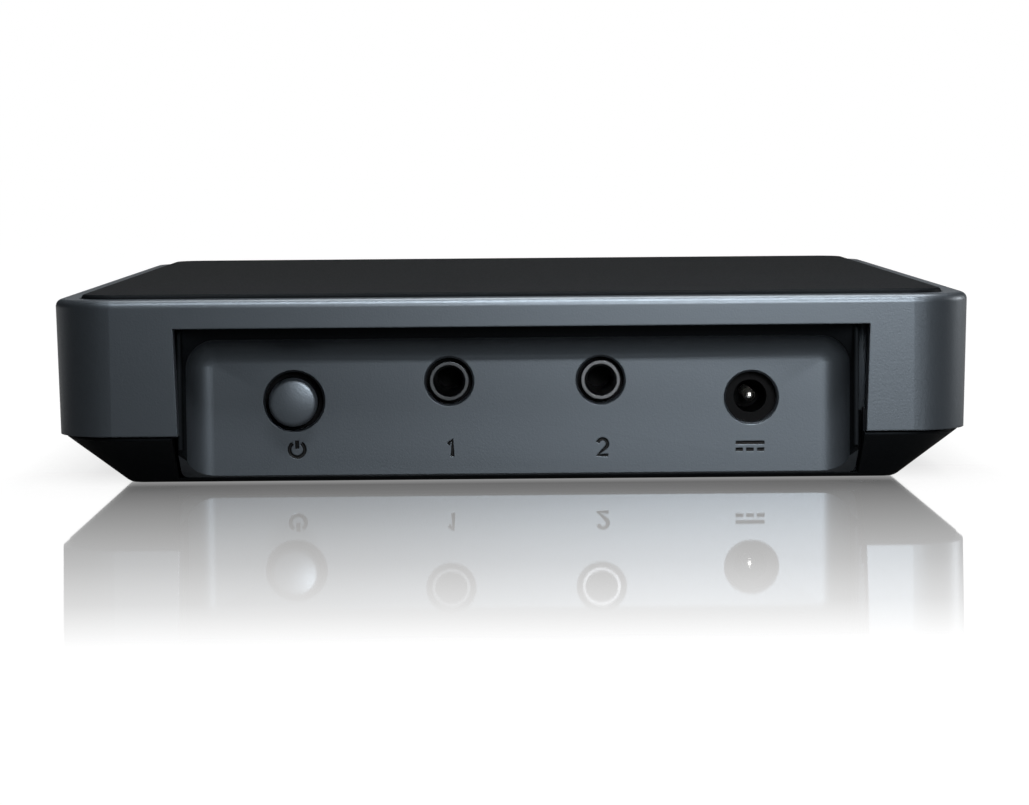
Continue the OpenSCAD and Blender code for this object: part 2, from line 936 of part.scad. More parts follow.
module drive_socket() {
    half = mouth_w / 2 - loose;
    tall = mouth_h / 2 - loose;
    slot_half = tongue_w / 2 + loose;
    slot_tall = tongue_t / 2 + loose;
    front = drive_rear + mouth_depth - loose;
    color([0.12, 0.12, 0.13])
    difference() {
        span([sata_x - half, riser_front, sata_mid - tall], [sata_x + half, front, sata_mid + tall]);
        span([sata_x - slot_half, drive_rear - loose, sata_mid - slot_tall],
             [sata_x + slot_half, front + eps, sata_mid + slot_tall]);
    }
}

// Places its children at the drive's four bottom screws
module at_drive_screws() {
    for (x = [-1, 1], y = drive_screw_y)
        translate([x * drive_screw_x, drive_rear + y, 0])
            children();
}

module tray_sled() {
    color([0.68, 0.69, 0.71])
    difference() {
        union() {
            span([-tray_half, drive_rear, tray_low], [tray_half, front_back, tray_floor]);
            for (side = [0, 1])
                mirror([side, 0, 0]) {
                    span([tray_half - tray_t, drive_rear, tray_floor - eps],
                         [tray_half, front_back, tray_top]);
                    span([tray_half - eps, drive_rear, runner_low],
                         [tray_half + runner_w, front_back, runner_low + runner_t]);
                    span([tray_half - eps, front_back - lug_t, lug_low],
                         [tray_half + lug_w, front_back, tray_top]);
                }
        }
        for (side = [-1, 1])
            bar_y(side * lug_x, lug_z, tray_screw_r + 0.1, front_back - lug_t - eps,
                  front_back + eps);
        at_drive_screws() {
            translate([0, 0, tray_low - eps])
                cylinder(r = drive_screw_r + 0.15, h = tray_t + 2 * eps);
            translate([0, 0, tray_low - eps])
                cylinder(r = drive_screw_head_r + 0.2, h = drive_screw_head_h + eps);
        }
        for (x = [-1, 1], y = [-3:3])
            translate([x * vent_x, (drive_front + drive_rear) / 2 + y * 9, tray_low - eps])
                linear_extrude(tray_t + 2 * eps)
                    slot(sled_vent.x, sled_vent.y);
    }
}

module tray_front() {
    high = lever_z + lever_h / 2 + lever_gap;
    low = lever_z - lever_h / 2 - lever_gap;
    color([0.15, 0.16, 0.17])
    difference() {
        translate([0, front_face, 0])
            mirror([0, 1, 0])
                box_end(front_w, front_low, front_high, front_t, front_edge_r, front_corner_r);
        span([lever_x - knuckle_r - lever_gap, lever_pocket, low],
             [lever_x + lever_l + finger_room, front_face + eps, high]);
        translate([lever_x, lever_y, low - pin_in])
            cylinder(r = lever_pin_r + fit, h = high - low + pin_in + front_high);
        for (side = [-1, 1])
            bar_y(side * lug_x, lug_z, tray_screw_r + fit, front_back - eps,
                  front_back + tray_screw_in + 0.3);
    }
}

module tray_screws() {
    color([0.60, 0.61, 0.63])
    for (side = [-1, 1])
        difference() {
            union() {
                bar_y(side * lug_x, lug_z, tray_screw_head_r,
                      front_back - lug_t - tray_screw_head_h, front_back - lug_t);
                bar_y(side * lug_x, lug_z, tray_screw_r, front_back - lug_t - eps,
                      front_back + tray_screw_in);
            }
            translate([side * lug_x, front_back - lug_t - tray_screw_head_h, lug_z])
                for (turn = [0, 90])
                    rotate([0, turn, 0])
                        cube([2, 0.9, 0.5], center = true);
        }
}

module lever_pin() {
    low = lever_z - lever_h / 2 - lever_gap - pin_in;
    high = lever_z + lever_h / 2 + lever_gap + pin_in;
    color([0.70, 0.70, 0.72])
    post([lever_x, lever_y], lever_pin_r, low, high);
}

module tray_lever() {
    tip_r = 2;
    grip = 1.1;
    color([0.18, 0.19, 0.20])
    difference() {
        union() {
            post([lever_x, lever_y], knuckle_r, lever_z - lever_h / 2, lever_z + lever_h / 2);
            intersection() {
                span([lever_x, lever_back, lever_z - lever_h / 2],
                     [lever_x + lever_l, lever_back + lever_t, lever_z + lever_h / 2]);
                along_y(lever_back, lever_back + lever_t)
                    translate([lever_x + lever_l / 2, lever_z])
                        round_rect(lever_l, lever_h, tip_r);
            }
        }
        post([lever_x, lever_y], lever_pin_r + pin_play, lever_z - lever_h, lever_z + lever_h);
        for (i = [0:3])
            translate([lever_x + lever_l - 4 - i * 2.4, lever_back + lever_t, lever_z])
                cube([grip, 0.8, lever_h - 2.4], center = true);
    }
}

module drive_casting() {
    inset = 0.6;
    color([0.60, 0.61, 0.63])
    difference() {
        translate([0, (drive_front + drive_rear) / 2, tray_floor])
            linear_extrude(drive_h - drive_lid_t)
                round_rect(drive_w, drive_l, 2);
        span([-drive_w / 2 + 2, drive_rear - eps, tray_floor - eps],
             [drive_w / 2 - 2, drive_rear + 46, sata_low + 0.1]);
        span([sata_x - sata_w / 2 - loose, drive_rear - eps, tray_floor - eps],
             [sata_x + sata_w / 2 + loose, drive_rear + sata_depth + loose,
              sata_low + sata_h + loose]);
        at_drive_screws()
            translate([0, 0, tray_floor - eps])
                cylinder(r = drive_screw_r + fit, h = drive_screw_in + 0.5);
        for (at = drive_lid_screw_points())
            post(at, 0.6 + fit, drive_top - drive_lid_t - 2.6, drive_top);
        translate([0, drive_front - drive_w / 2 - inset, tray_floor - eps])
            cylinder(r = 10, h = 0.4);
    }
}

// Places of the six screws in the drive's lid
function drive_lid_screw_points() = [
    for (x = [-1, 1], y = [0, 0.5, 1])
        [x * (drive_w / 2 - 3.4), drive_rear + 5 + y * (drive_l - 10)]
];

module drive_lid() {
    color([0.74, 0.75, 0.77])
    difference() {
        translate([0, (drive_front + drive_rear) / 2, drive_top - drive_lid_t])
            linear_extrude(drive_lid_t)
                round_rect(drive_w - 1.2, drive_l - 1.2, 2.4);
        translate([0, drive_front - drive_w / 2, drive_top - 0.2])
            difference() {
                cylinder(r = drive_w / 2 - 8, h = 1);
                translate([0, 0, -eps])
                    cylinder(r = drive_w / 2 - 9.2, h = 1 + 2 * eps);
            }
        for (at = drive_lid_screw_points()) {
            post(at, 0.7, drive_top - drive_lid_t - eps, drive_top + eps);
            post(at, 1.4, drive_top - 0.3, drive_top + eps);
        }
    }
}

module drive_lid_screws() {
    color([0.45, 0.46, 0.48])
    for (at = drive_lid_screw_points()) {
        post(at, 1.25, drive_top - 0.3, drive_top);
        post(at, 0.6, drive_top - drive_lid_t - 2.4, drive_top - 0.3 + eps);
    }
}

module drive_board() {
    color([0.06, 0.26, 0.15])
    difference() {
        span([-drive_w / 2 + 2.3, drive_rear, sata_low - drive_pcb_t],
             [drive_w / 2 - 2.3, drive_rear + 45.7, sata_low]);
        at_drive_screws()
            translate([0, 0, tray_floor])
                cylinder(r = 3, h = 4);
    }
}

module drive_connector() {
    back = drive_rear + mouth_depth;
    color([0.08, 0.08, 0.09])
    union() {
        difference() {
            span([sata_x - sata_w / 2, drive_rear, sata_low],
                 [sata_x + sata_w / 2, drive_rear + sata_depth, sata_low + sata_h]);
            span([sata_x - mouth_w / 2, drive_rear - eps, sata_mid - mouth_h / 2],
                 [sata_x + mouth_w / 2, back, sata_mid + mouth_h / 2]);
        }
        span([sata_x - tongue_w / 2, back - tongue_l, sata_mid - tongue_t / 2],
             [sata_x + tongue_w / 2, back + eps, sata_mid + tongue_t / 2]);
    }
}

module drive_screws() {
    color([0.66, 0.67, 0.69])
    at_drive_screws() {
        translate([0, 0, tray_low])
            cylinder(r = drive_screw_head_r, h = drive_screw_head_h);
        translate([0, 0, tray_low])
            cylinder(r = drive_screw_r, h = tray_t + drive_screw_in);
    }
}

top_cover();
lid_plate();
bottom_case();
rear_panel();
rubber_feet();
case_screws();
main_board();
board_screws();
main_processor();
heat_sink();
memory_chips();
flash_chip();
clock_crystal();
power_inductors();
filter_capacitors();
dc_jack();
dc_pin();
component_jack();
component_sleeve();
av_jack();
av_sleeve();
power_switch();
switch_plunger();
power_button();
usb_shell();
usb_tongue();
ir_receiver();
ir_window();
status_led();
light_pipe();
drive_riser();
drive_socket();
tray_sled();
tray_front();
tray_screws();
lever_pin();
tray_lever();
drive_casting();
drive_lid();
drive_lid_screws();
drive_board();
drive_connector();
drive_screws();
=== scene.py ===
"""Looks of the compact media player: materials, the jack panel's details, floor, light and camera.

The jack end faces -Y, the tray end +Y, and z = 0 is the table. Names in capitals that give sizes
are in millimetres unless their comment says otherwise.
"""

import math

import bmesh
import bpy
from mathutils import Matrix, Vector


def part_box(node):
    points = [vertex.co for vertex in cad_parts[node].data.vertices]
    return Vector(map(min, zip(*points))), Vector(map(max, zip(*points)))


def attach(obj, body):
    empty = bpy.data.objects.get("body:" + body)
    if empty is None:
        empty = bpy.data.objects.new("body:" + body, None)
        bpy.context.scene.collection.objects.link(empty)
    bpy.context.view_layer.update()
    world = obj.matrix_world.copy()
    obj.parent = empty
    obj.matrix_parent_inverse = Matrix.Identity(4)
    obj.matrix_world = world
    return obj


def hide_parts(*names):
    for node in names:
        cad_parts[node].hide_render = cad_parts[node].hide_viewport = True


MM = 0.001

# Camera: place, lens, sensor, and turns in degrees
CAMERA_AT = (-1.4, -443.25, 44.6)
LENS = 102.0
SENSOR = 36.0
PITCH, YAW, ROLL = 4.96, 0.249, 0.47

# Marks under the controls: their middles on the panel, their height and their grooves' radius
MARK_Z = 4.9
MARK_H = 2.2
MARK_X = {"standby": -28.8, "one": -8.1, "two": 12.0, "direct_current": 31.7}
MARK_GROOVE = 0.24

# Standby mark: its ring's share of the half height, and half of the ring's opening in degrees
RING_SHARE, RING_OPENING = 0.92, 35

# Direct-current mark: height of its bar and of its dashes, and the ends of the dashes
BAR_Z, DASH_Z = 0.42, -0.5
DASHES = ((-1.9, -0.95), (-0.48, 0.48), (0.95, 1.9))

# Holes in the jack panel: the node in each one and its radius, as in the CAD; the chamfer round
# it, and how far the form that cuts it stands out of the panel
HOLES = {"power_button": 3.9, "component_sleeve": 3.1, "av_sleeve": 3.1, "dc_pin": 3.43}
HOLE_CHAMFER = 0.25
CUTTER_REACH = 0.5

# Pocket of the jack panel: corner radius, top and wall, as in the CAD, and the wall left at its lip
POCKET_R, POCKET_TOP, POCKET_WALL, LIP = 4.0, 19.9, 1.0, 0.1

# Lip: how deep its faces reach that take a darker plastic as painted shade, how fast it flares
# round the corners, and how near to the panel's front and to the pocket's outline a vertex lies
# that belongs to it
LIP_SHADE_DEPTH, LIP_FLARE = 2.3, 1.25
LIP_FRONT, LIP_NEAR = 0.01, 0.05

# Power button: radius as in the CAD, depth of its dome and radius of its round edge
BUTTON_R, DOME, ROUND_EDGE = 3.25, 0.2, 0.65

# Its flange's place behind the front and its thickness, and the stem's radius, as in the CAD
FLANGE_AT, FLANGE_T, STEM_R = 5.0, 0.9, 1.6

# Rings of the dome, and the angles of the rings along its round edge
DOME_RINGS = 8
EDGE_ANGLES = range(22, 91, 8)

# Contact sleeves: bore as in the CAD, countersink, and the collar in front of the jack's nose
SLEEVE_BORE, SINK_R, SINK_DEPTH = 1.8, 2.1, 0.7
COLLAR_R, COLLAR_RISE, COLLAR_EDGE = 2.62, 0.12, 0.06

# Distances in metres below which two vertices are one: in the copied panel and in a lathe form
WELD, CLOSE = 1e-6, 1e-7

# Plastics: the colour of the housing, and the scale of its spark-eroded texture
BLACK = (0.0085, 0.0100, 0.0118)
SPARK_GRAIN = 3800

# Lamps, in metres: place, aim, size, power in watts and spread in degrees
LAMPS = {
    "key": ((0.061, -0.35, 0.108), (0.069, -0.06, 0.014), (0.10, 0.10), 0.192, 66),
    "crown": ((0.03, -0.25, 0.33), (0.01, -0.058, 0.012), (0.16, 0.06), 0.28, 60),
    "rim": ((0.07, 0.08, 0.50), (0.01, -0.04, 0.02), (0.36, 0.12), 3.0, 180),
    "side_rim": ((0.50, 0.12, 0.12), (0.06, -0.03, 0.012), (0.15, 0.15), 0.10, 60),
}

# Light that the dim room gives from every side
ROOM_LEVEL = 0.02

# White card behind the table: each edge as (outside it, inside it) in parts of a unit direction
CARD_SIDE, CARD_TOP, CARD_LOW, CARD_BACK = (0.23, 0.21), (0.19, 0.175), (0.095, 0.11), (0.5, 0.6)

# Floor's mirror, in metres: where it starts and how far it reaches along -Y, its strength on the
# way, and the bands over which it ends behind the object's front and beside the object
MIRROR_START, MIRROR_REACH = -0.0575, 0.128
MIRROR_FADE = ((0.0, 0.83), (0.13, 0.78), (0.29, 0.69), (0.56, 0.52), (0.78, 0.33), (1.0, 0.0))
MIRROR_BACK, MIRROR_SIDE = (-0.055, -0.035), (0.064, 0.076)

# Layer Weight's Facing between which the mirror comes in, and the mirror's roughness
MIRROR_GRAZING, MIRROR_ROUGH = (0.80, 0.826), 0.03

# Floor's contact shade: its reach in metres, the shares of open sky that it runs between, and
# the floor's glow at each
CONTACT_REACH, OPEN_SKY, FLOOR_GLOW = 0.02, (0.2, 0.9), (0.74, 1.0)

# Share of the floor's white that reflections in the object show, before and behind its middle,
# and the band in metres over which one becomes the other
GLOSSY_SHARE, BEHIND_SHARE = 0.05, 0.5
SHARE_BAND = (-0.03, 0.03)

# Half the width of the floor, in metres
FLOOR_REACH = 4.0


# ---------------------------------------------------------------- node graphs
class Graph:
    """A material's node tree, with short calls to add and link nodes."""

    def __init__(self, name):
        self.material = bpy.data.materials.new(name)
        self.material.use_nodes = True
        self.tree = self.material.node_tree
        self.tree.nodes.clear()
        self.output = self.add("ShaderNodeOutputMaterial")
        self.place = self.add("ShaderNodeTexCoord").outputs["Object"]

    def add(self, kind, inputs=None, **settings):
        node = self.tree.nodes.new(kind)
        for key, value in settings.items():
            setattr(node, key, value)
        for key, value in (inputs or {}).items():
            if isinstance(value, bpy.types.NodeSocket):
                self.tree.links.new(value, node.inputs[key])
            else:
                node.inputs[key].default_value = value
        return node

    def math(self, operation, a, b=0.0, clamp=False):
        node = self.add("ShaderNodeMath", {0: a, 1: b}, operation=operation, use_clamp=clamp)
        return node.outputs[0]

    def stretched(self, scale):
        """Object coordinates scaled by a vector, for grain that runs one way."""
        return self.add("ShaderNodeMapping", {"Vector": self.place, "Scale": scale}).outputs[0]

    def noise(self, scale, detail=2.0, vector=None, rough=0.5):
        node = self.add("ShaderNodeTexNoise", {
            "Vector": vector or self.place, "Scale": scale, "Detail": detail, "Roughness": rough})
        return node.outputs["Fac"]

    def ramp(self, factor, *stops):
        """Colour ramp through (position, colour) stops."""
        node = self.add("ShaderNodeValToRGB", {"Fac": factor})
        elements = node.color_ramp.elements
        while len(elements) < len(stops):
            elements.new(0.5)
        for element, (position, colour) in zip(elements, stops):
            element.position = position
            element.color = (*colour, 1.0)
        return node.outputs["Color"]

    def between(self, factor, low, high, start=0.3, end=0.7):
        """factor from start to end, mapped to low to high."""
        node = self.add("ShaderNodeMapRange", {
            "Value": factor, "From Min": start, "From Max": end, "To Min": low, "To Max": high})
        return node.outputs[0]

    def bump(self, height, strength, depth, edge=0.0):
        """Bump on top of edges that are rounded by radius edge."""
        inputs = {"Height": height, "Strength": strength, "Distance": depth}
        if edge:
            inputs["Normal"] = self.add("ShaderNodeBevel", {"Radius": edge}, samples=6).outputs[0]
        return self.add("ShaderNodeBump", inputs).outputs[0]

    def finish(self, **inputs):
        """Principled surface with these inputs; returns the material."""
        named = {key.replace("_", " "): value for key, value in inputs.items()}
        shader = self.add("ShaderNodeBsdfPrincipled", named)
        self.tree.links.new(shader.outputs[0], self.output.inputs["Surface"])
        return self.material


def shade(colour, factor):
    """The colour, lighter or darker by a factor."""
    return tuple(channel * factor for channel in colour)


# ---------------------------------------------------------------- materials
def satin_plastic(name, colour, rough=0.42, gloss=0.35, edge=0.25):
    """Moulded plastic with a fine spark-eroded texture, faint mottling and soft edges."""
    g = Graph(name)
    fine = g.noise(scale=SPARK_GRAIN, detail=2.0)
    broad = g.noise(scale=26, detail=3.0)
    return g.finish(
        Base_Color=g.ramp(broad, (0.3, shade(colour, 0.86)), (0.7, shade(colour, 1.14))),
        Roughness=g.between(fine, rough - 0.035, rough + 0.035),
        Specular_IOR_Level=gloss,
        Specular_Tint=(0.74, 0.87, 1.0, 1.0),
        Normal=g.bump(fine, strength=0.35, depth=0.00003, edge=edge * MM))


def moulded_plastic(name, colour, rough=0.5, gloss=0.3):
    """Plain moulded plastic of jacks, sockets, switches and chips."""
    g = Graph(name)
    fine = g.noise(scale=2600, detail=3.0)
    tone = g.noise(scale=140, detail=2.0)
    return g.finish(
        Base_Color=g.ramp(tone, (0.3, shade(colour, 0.8)), (0.7, shade(colour, 1.2))),
        Roughness=g.between(fine, rough - 0.06, rough + 0.06),
        Specular_IOR_Level=gloss,
        Normal=g.bump(fine, strength=0.2, depth=0.00002, edge=0.1 * MM))


def rubber(name, colour):
    """Matte rubber with a grainy surface and a dusty bloom."""
    g = Graph(name)
    grain = g.noise(scale=1700, detail=4.0)
    bloom = g.noise(scale=210, detail=4.0)
    return g.finish(
        Base_Color=g.ramp(bloom, (0.35, colour), (0.75, shade(colour, 1.8))),
        Roughness=g.between(grain, 0.74, 0.92),
        Specular_IOR_Level=0.2,
        Normal=g.bump(grain, strength=0.5, depth=0.00006, edge=0.25 * MM))


def brushed_metal(name, colour, stretch=(260, 6200, 3200), rough=0.3):
    """Plated or brushed sheet: long fine scratches and patches of duller plating."""
    g = Graph(name)
    lines = g.noise(scale=1.0, detail=3.0, vector=g.stretched(stretch))
    patches = g.noise(scale=55, detail=3.0)
    return g.finish(
        Base_Color=g.ramp(patches, (0.3, shade(colour, 0.9)), (0.7, colour)),
        Metallic=1.0,
        Roughness=g.between(lines, rough - 0.07, rough + 0.09),
        Normal=g.bump(lines, strength=0.25, depth=0.00001, edge=0.08 * MM))


def cast_metal(name, colour, rough=0.45):
    """Cast aluminium with a shallow pitted skin."""
    g = Graph(name)
    pits = g.noise(scale=950, detail=5.0, rough=0.62)
    tone = g.noise(scale=70, detail=3.0)
    return g.finish(
        Base_Color=g.ramp(tone, (0.3, shade(colour, 0.86)), (0.7, colour)),
        Metallic=1.0,
        Roughness=g.between(pits, rough - 0.08, rough + 0.12),
        Normal=g.bump(pits, strength=0.35, depth=0.00004, edge=0.1 * MM))


def circuit_board(name, mask, trace):
    """Solder mask with a fine net of traces and plated dots."""
    g = Graph(name)
    net = g.add("ShaderNodeTexBrick", {
        "Vector": g.place, "Scale": 260.0, "Mortar Size": 0.05, "Mortar Smooth": 0.1,
        "Color1": (0, 0, 0, 1), "Color2": (0, 0, 0, 1), "Mortar": (1, 1, 1, 1)}, offset=0.37)
    dots = g.add("ShaderNodeTexVoronoi", {"Vector": g.place, "Scale": 620.0})
    pads = g.between(dots.outputs["Distance"], 1.0, 0.0, 0.11, 0.15)
    lines = g.math("MAXIMUM", net.outputs["Color"], pads, clamp=True)
    tone = g.noise(scale=120, detail=2.0)
    green = g.ramp(tone, (0.3, shade(mask, 0.85)), (0.7, shade(mask, 1.15)))
    mixed = g.add("ShaderNodeMixRGB", {"Fac": lines, "Color1": green, "Color2": (*trace, 1.0)})
    return g.finish(
        Base_Color=mixed.outputs[0],
        Roughness=g.between(g.noise(scale=900), 0.28, 0.4),
        Normal=g.bump(lines, strength=0.4, depth=0.00003, edge=0.06 * MM))


def tinted_lens(name, colour, clear):
    """Smoked or milky moulded lens; clear is the share of light that goes through."""
    g = Graph(name)
    waves = g.noise(scale=400, detail=2.0)
    return g.finish(
        Base_Color=g.ramp(waves, (0.3, shade(colour, 0.9)), (0.7, colour)),
        Transmission_Weight=clear,
        IOR=1.49,
        Roughness=g.between(waves, 0.12, 0.18),
        Normal=g.bump(waves, strength=0.05, depth=0.00002, edge=0.12 * MM))


def plastics():
    """Materials of plastic, rubber, lenses and boards."""
    return {
        "cover": satin_plastic("cover_satin", BLACK, gloss=0.9),
        # Darker, near matte copy of the housing's black: painted shade on the lid's top
        "lid": satin_plastic("lid_satin_painted_shade", shade(BLACK, 0.3), rough=0.5, gloss=0.02, edge=0.2),
        "panel": satin_plastic("panel_satin", BLACK, gloss=0.85, rough=0.44, edge=0.16),
        # Darker copy of the housing's black, as painted shade: on the underside and on the jack
        # pocket's lip
        "case": satin_plastic("case_satin_painted_shade", shade(BLACK, 0.3), rough=0.5, gloss=0.05),
        # Lighter copy of the housing's black: painted light on the button cap and the tray lever
        "button": satin_plastic("button_satin_painted_light", shade(BLACK, 1.6), gloss=1.0, rough=0.38,
                                edge=0.05),
        # Near-black matte for the grooves' faces: painted shade in the engraving
        "mark": moulded_plastic("mark_groove_painted_shade", (0.0030, 0.0034, 0.0038), rough=0.6, gloss=0.12),
        "rubber": rubber("foot_rubber", (0.010, 0.010, 0.011)),
        "jack": moulded_plastic("jack_moulding", (0.0024, 0.0026, 0.0030), gloss=0.03),
        "nylon": moulded_plastic("nylon_moulding", (0.62, 0.61, 0.56)),
        "epoxy": moulded_plastic("chip_epoxy", (0.016, 0.016, 0.018), rough=0.6),
        "ferrite": moulded_plastic("ferrite_body", (0.045, 0.045, 0.048), rough=0.7),
        "board": circuit_board("board_mask", (0.010, 0.085, 0.040), (0.020, 0.15, 0.065)),
        "ir": tinted_lens("ir_lens", (0.030, 0.004, 0.010), clear=0.25),
        "clear": tinted_lens("pipe_lens", (0.62, 0.68, 0.74), clear=0.7),
    }


def metals():
    """Materials of metal; the grain of turned parts runs round them."""
    turned_grain = (300, 900, 300)
    return {
        "steel": brushed_metal("plated_steel", (0.56, 0.57, 0.59)),
        "screw": brushed_metal("screw_zinc", (0.50, 0.51, 0.53), stretch=(900, 900, 900),
                               rough=0.34),
        "contact": brushed_metal("contact_nickel", (0.80, 0.79, 0.76), stretch=(300, 3000, 300)),
        "dark_contact": brushed_metal("contact_dark", (0.050, 0.054, 0.058),
                                      stretch=turned_grain, rough=0.4),
        "grey_contact": brushed_metal("contact_grey", (0.075, 0.079, 0.084),
                                      stretch=turned_grain, rough=0.38),
        "aluminium": cast_metal("sink_aluminium", (0.62, 0.63, 0.65), rough=0.36),
        "casting": cast_metal("drive_casting_skin", (0.46, 0.47, 0.49)),
        "drive_lid": brushed_metal("drive_lid_steel", (0.60, 0.61, 0.63),
                                   stretch=(5200, 260, 2600), rough=0.28),
    }


# CAD nodes that each material goes on
CAD_FINISH = {
    "cover": ["top_cover"],
    "lid": ["lid_plate"],
    "panel": ["rear_panel", "tray_front"],
    # The underside takes the darker copy of the black as painted shade
    "case": ["bottom_case"],
    "button": ["power_button", "tray_lever"],
    "rubber": ["rubber_feet"],
    "jack": ["component_jack", "av_jack", "dc_jack", "power_switch", "drive_socket",
             "drive_connector"],
    "nylon": ["switch_plunger", "usb_tongue"],
    "epoxy": ["main_processor", "memory_chips", "flash_chip", "ir_receiver"],
    "ferrite": ["power_inductors"],
    "steel": ["tray_sled", "usb_shell", "clock_crystal"],
    "screw": ["case_screws", "board_screws", "tray_screws", "lever_pin", "drive_lid_screws",
              "drive_screws"],
    "contact": ["dc_pin"],
    "dark_contact": ["component_sleeve"],
    "grey_contact": ["av_sleeve"],
    "aluminium": ["heat_sink", "filter_capacitors"],
    "casting": ["drive_casting"],
    "drive_lid": ["drive_lid"],
    "board": ["main_board", "drive_riser", "drive_board"],
    "ir": ["ir_window"],
    "clear": ["status_led", "light_pipe"],
}


def dress(nodes, materials):
    """Gives every CAD node its finish, also the nodes that a piece of this script replaces."""
    for finish, names in CAD_FINISH.items():
        for name in names:
            slots = nodes[name].data.materials
            slots.clear()
            slots.append(materials[finish])


# ---------------------------------------------------------------- forms
def arc(centre, radius, start, end, steps):
    """Points on an arc from angle start to end, in degrees."""
    return [(centre[0] + radius * math.cos(math.radians(start + (end - start) * i / steps)),
             centre[1] + radius * math.sin(math.radians(start + (end - start) * i / steps)))
            for i in range(steps + 1)]


def mark_strokes():
    """Each mark as strokes: lists of (x, z) points round the mark's middle."""
    half = MARK_H / 2
    ring = arc((0, 0), half * RING_SHARE, 90 + RING_OPENING, 450 - RING_OPENING, 36)
    hook = arc((0, 0.42), 0.66, 165, -40, 18)
    bar = [(DASHES[0][0], BAR_Z), (DASHES[-1][1], BAR_Z)]
    return {
        "standby": [ring, [(0, 0.1), (0, half * 1.1)]],
        "one": [[(-0.55, 0.55), (0.05, half), (0.05, -half)]],
        "two": [hook + [(-0.68, -half), (0.72, -half)]],
        "direct_current": [bar] + [[(start, DASH_Z), (end, DASH_Z)] for start, end in DASHES],
    }


def groove_cutter(name, points, middle, face):
    """Round rod along the points of one stroke, half sunk in the panel's face."""
    curve = bpy.data.curves.new(name, "CURVE")
    curve.dimensions = "3D"
    curve.bevel_depth = MARK_GROOVE * MM
    curve.bevel_resolution = 3
    curve.use_fill_caps = True
    spline = curve.splines.new("POLY")
    spline.points.add(len(points) - 1)
    for slot, (x, z) in zip(spline.points, points):
        slot.co = ((middle[0] + x) * MM, face, (middle[1] + z) * MM, 1.0)
    rod = bpy.data.objects.new(name, curve)
    bpy.context.scene.collection.objects.link(rod)
    bpy.context.view_layer.update()
    mesh = bpy.data.meshes.new_from_object(rod)
    bpy.data.objects.remove(rod)
    cutter = bpy.data.objects.new(name, mesh)
    bpy.context.scene.collection.objects.link(cutter)
    return cutter


def sharpen(mesh, degrees=32):
    """Smooth shading that breaks at edges steeper than this."""
    form = bmesh.new()
    form.from_mesh(mesh)
    for face in form.faces:
        face.smooth = True
    for edge in form.edges:
        edge.smooth = edge.is_manifold and edge.calc_face_angle(math.pi) < math.radians(degrees)
    form.to_mesh(mesh)
    form.free()


def turned(name, profile, middle, material, steps=96):
    """Lathe form round a line along Y through middle (x, z); profile is (radius, y), in metres."""
    form = bmesh.new()
    rings = []
    for radius, y in profile:
        count = steps if radius > 0 else 1
        rings.append([form.verts.new((middle[0] + radius * math.cos(2 * math.pi * i / steps), y,
                                      middle[1] + radius * math.sin(2 * math.pi * i / steps)))
                      for i in range(count)])
    for first, second in zip(rings, rings[1:]):
        for i in range(steps):
            corners = [first[i % len(first)], first[(i + 1) % len(first)],
                       second[(i + 1) % len(second)], second[i % len(second)]]
            form.faces.new(list(dict.fromkeys(corners)))
    bmesh.ops.remove_doubles(form, verts=form.verts, dist=CLOSE)
    bmesh.ops.recalc_face_normals(form, faces=form.faces)
    mesh = bpy.data.meshes.new(name)
    form.to_mesh(mesh)
    form.free()
    mesh.materials.append(material)
    piece = bpy.data.objects.new(name, mesh)
    bpy.context.scene.collection.objects.link(piece)
    return piece


def centre_of(node):
    """Middle of a node's box in X and Z."""
    low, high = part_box(node)
    return ((low[0] + high[0]) / 2, (low[2] + high[2]) / 2)


def collared_sleeve(name, node, material):
    """A jack's contact sleeve with the wide flat collar that shows in the panel's hole."""
    low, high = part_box(node)
    front, back, outer = low[1], high[1], (high[0] - low[0]) / 2
    face = front - COLLAR_RISE * MM
    bevel = COLLAR_EDGE * MM
    profile = [(SLEEVE_BORE * MM, back), (SLEEVE_BORE * MM, front + SINK_DEPTH * MM),
               (SINK_R * MM, face + bevel), (SINK_R * MM + bevel, face),
               (COLLAR_R * MM - bevel, face), (COLLAR_R * MM, face + bevel),
               (COLLAR_R * MM, front), (outer, front), (outer, back), (SLEEVE_BORE * MM, back)]
    sleeve = turned(name, profile, centre_of(node), material)
    sharpen(sleeve.data)
    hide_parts(node)
    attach(sleeve, "player_body")


def domed_button(material, shank_shade_material):
    """Power button with a domed cap and a round edge, and a shank, flange and stem in a darker
    plastic that paints the shade in the gap round the cap.
    """
    low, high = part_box("power_button")
    front, back, flange_r = low[1], high[1], (high[0] - low[0]) / 2
    dome_r = (BUTTON_R - ROUND_EDGE) * MM
    profile = [(dome_r * i / DOME_RINGS, front + DOME * MM * (i / DOME_RINGS) ** 2)
               for i in range(DOME_RINGS + 1)]
    edge_y = front + (DOME + ROUND_EDGE) * MM
    profile += [(dome_r + ROUND_EDGE * MM * math.sin(math.radians(angle)),
                 edge_y - ROUND_EDGE * MM * math.cos(math.radians(angle)))
                for angle in EDGE_ANGLES] + [(BUTTON_R * MM, edge_y)]
    flange = front + FLANGE_AT * MM
    profile += [(BUTTON_R * MM, flange), (flange_r, flange), (flange_r, flange + FLANGE_T * MM),
                (STEM_R * MM, flange + FLANGE_T * MM), (STEM_R * MM, back), (0.0, back)]
    button = turned("button_cap", profile, centre_of("power_button"), material)
    button.data.materials.append(shank_shade_material)
    # Faces behind the round edge take the dark plastic: painted shade in the gap round the cap
    for face in button.data.polygons:
        if face.center.y > edge_y:
            face.material_index = 1
    sharpen(button.data)
    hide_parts("power_button")
    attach(button, "power_key")


